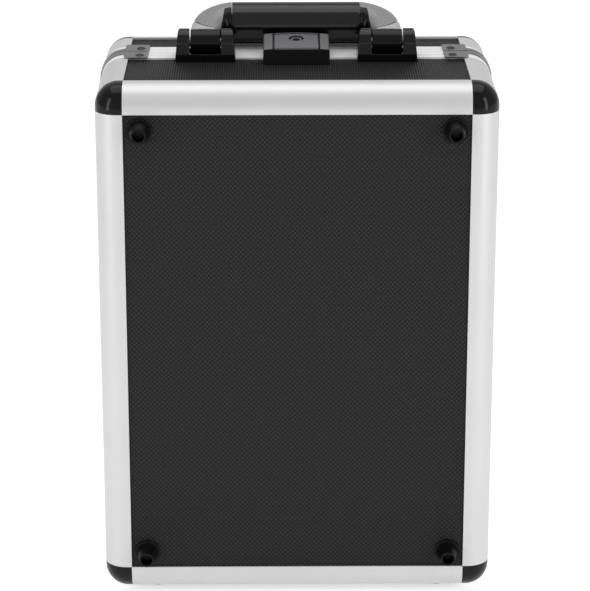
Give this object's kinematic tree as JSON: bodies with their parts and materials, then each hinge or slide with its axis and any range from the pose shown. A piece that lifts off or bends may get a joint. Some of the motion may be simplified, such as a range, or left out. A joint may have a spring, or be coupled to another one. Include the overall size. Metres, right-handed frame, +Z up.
{
  "type": "sampler case",
  "caption": "Upright aluminium-framed carrying case with a hinged lid, foam lining, folding handle, key lock and rubber feet",
  "frame": {"origin": "on the ground, below the middle of the whole bounding box", "axes": "+Z up from the hinge side to the handle side, -Y towards the front face with the tall feet, +X to the right of someone who looks at the front"},
  "size_m": [0.3314, 0.216, 0.485],
  "materials": {
    "frame_aluminium": "satin",
    "panel_black": "embossed",
    "corner_black": "satin",
    "steel": "satin",
    "foot_rubber": "matt",
    "bracket_black": "satin",
    "handle_core_black": "satin",
    "handle_grey": "satin",
    "grip_black": "satin",
    "lock_grey": "semi-gloss",
    "key_metal": "polished",
    "foam_black": "open-cell foam"
  },
  "bodies": {
    "base": {"base_bottom_panel": "panel_black", "base_closing_profile": "frame_aluminium", "base_corner_braces": "steel", "base_corners": "corner_black", "base_edge_bottom": "frame_aluminium", "base_edge_left": "frame_aluminium", "base_edge_right": "frame_aluminium", "base_edge_top": "frame_aluminium", "base_foam": "foam_black", "base_handle_side_panel": "panel_black", "base_hinge_leaves": "steel", "base_hinge_side_panel": "panel_black", "base_left_panel": "panel_black", "base_low_feet": "foot_rubber", "base_right_panel": "panel_black", "base_rivets": "steel", "base_side_edges": "frame_aluminium", "bracket_screws": "steel", "foot_lower_left": "foot_rubber", "foot_lower_right": "foot_rubber", "foot_screws": "steel", "foot_upper_left": "foot_rubber", "foot_upper_right": "foot_rubber", "handle_bracket_left": "bracket_black", "handle_bracket_right": "bracket_black", "handle_pin_left": "steel", "handle_pin_right": "steel", "hinge_pins": "steel", "lock_flap_pin": "steel", "lock_housing": "lock_grey", "lock_rivets": "steel"},
    "lid": {"lid_closing_profile": "frame_aluminium", "lid_corner_braces": "steel", "lid_corners": "corner_black", "lid_edge_bottom": "frame_aluminium", "lid_edge_left": "frame_aluminium", "lid_edge_right": "frame_aluminium", "lid_edge_top": "frame_aluminium", "lid_foam": "foam_black", "lid_handle_side_panel": "panel_black", "lid_hinge_leaves": "steel", "lid_hinge_side_panel": "panel_black", "lid_left_panel": "panel_black", "lid_low_feet": "foot_rubber", "lid_right_panel": "panel_black", "lid_rivets": "steel", "lid_side_edges": "frame_aluminium", "lid_top_panel": "panel_black", "strike_plate": "steel"},
    "handle": {"handle_core": "handle_core_black", "handle_elbow_left": "handle_grey", "handle_elbow_right": "handle_grey", "handle_arm_cover_left": "handle_grey", "handle_arm_cover_right": "handle_grey", "handle_grip": "grip_black"},
    "lock_flap": {"lock_flap": "lock_grey", "lock_hook": "steel"},
    "key": {"key_cylinder": "key_metal", "key_cam": "steel"}
  },
  "joints": [
    {"name": "lid_hinge", "type": "hinge", "parent": "base", "child": "lid", "pos_m": [0, 0.03, 0.0048], "axis": [-1, 0, 0], "range_deg": [0, 100]},
    {"name": "lock_flap_lift", "type": "hinge", "parent": "base", "child": "lock_flap", "pos_m": [0, -0.0015, 0.45617], "axis": [1, 0, 0], "range_deg": [0, 80]},
    {"name": "key_turn", "type": "hinge", "parent": "lock_flap", "child": "key", "pos_m": [0, 0.016, 0.4631], "axis": [0, -0.1409, 0.99], "range_deg": [-90, 0]},
    {"name": "handle_swing", "type": "hinge", "parent": "base", "child": "handle", "pos_m": [0, 0.013, 0.4611], "axis": [1, 0, 0], "range_deg": [0, 145]}
  ]
}
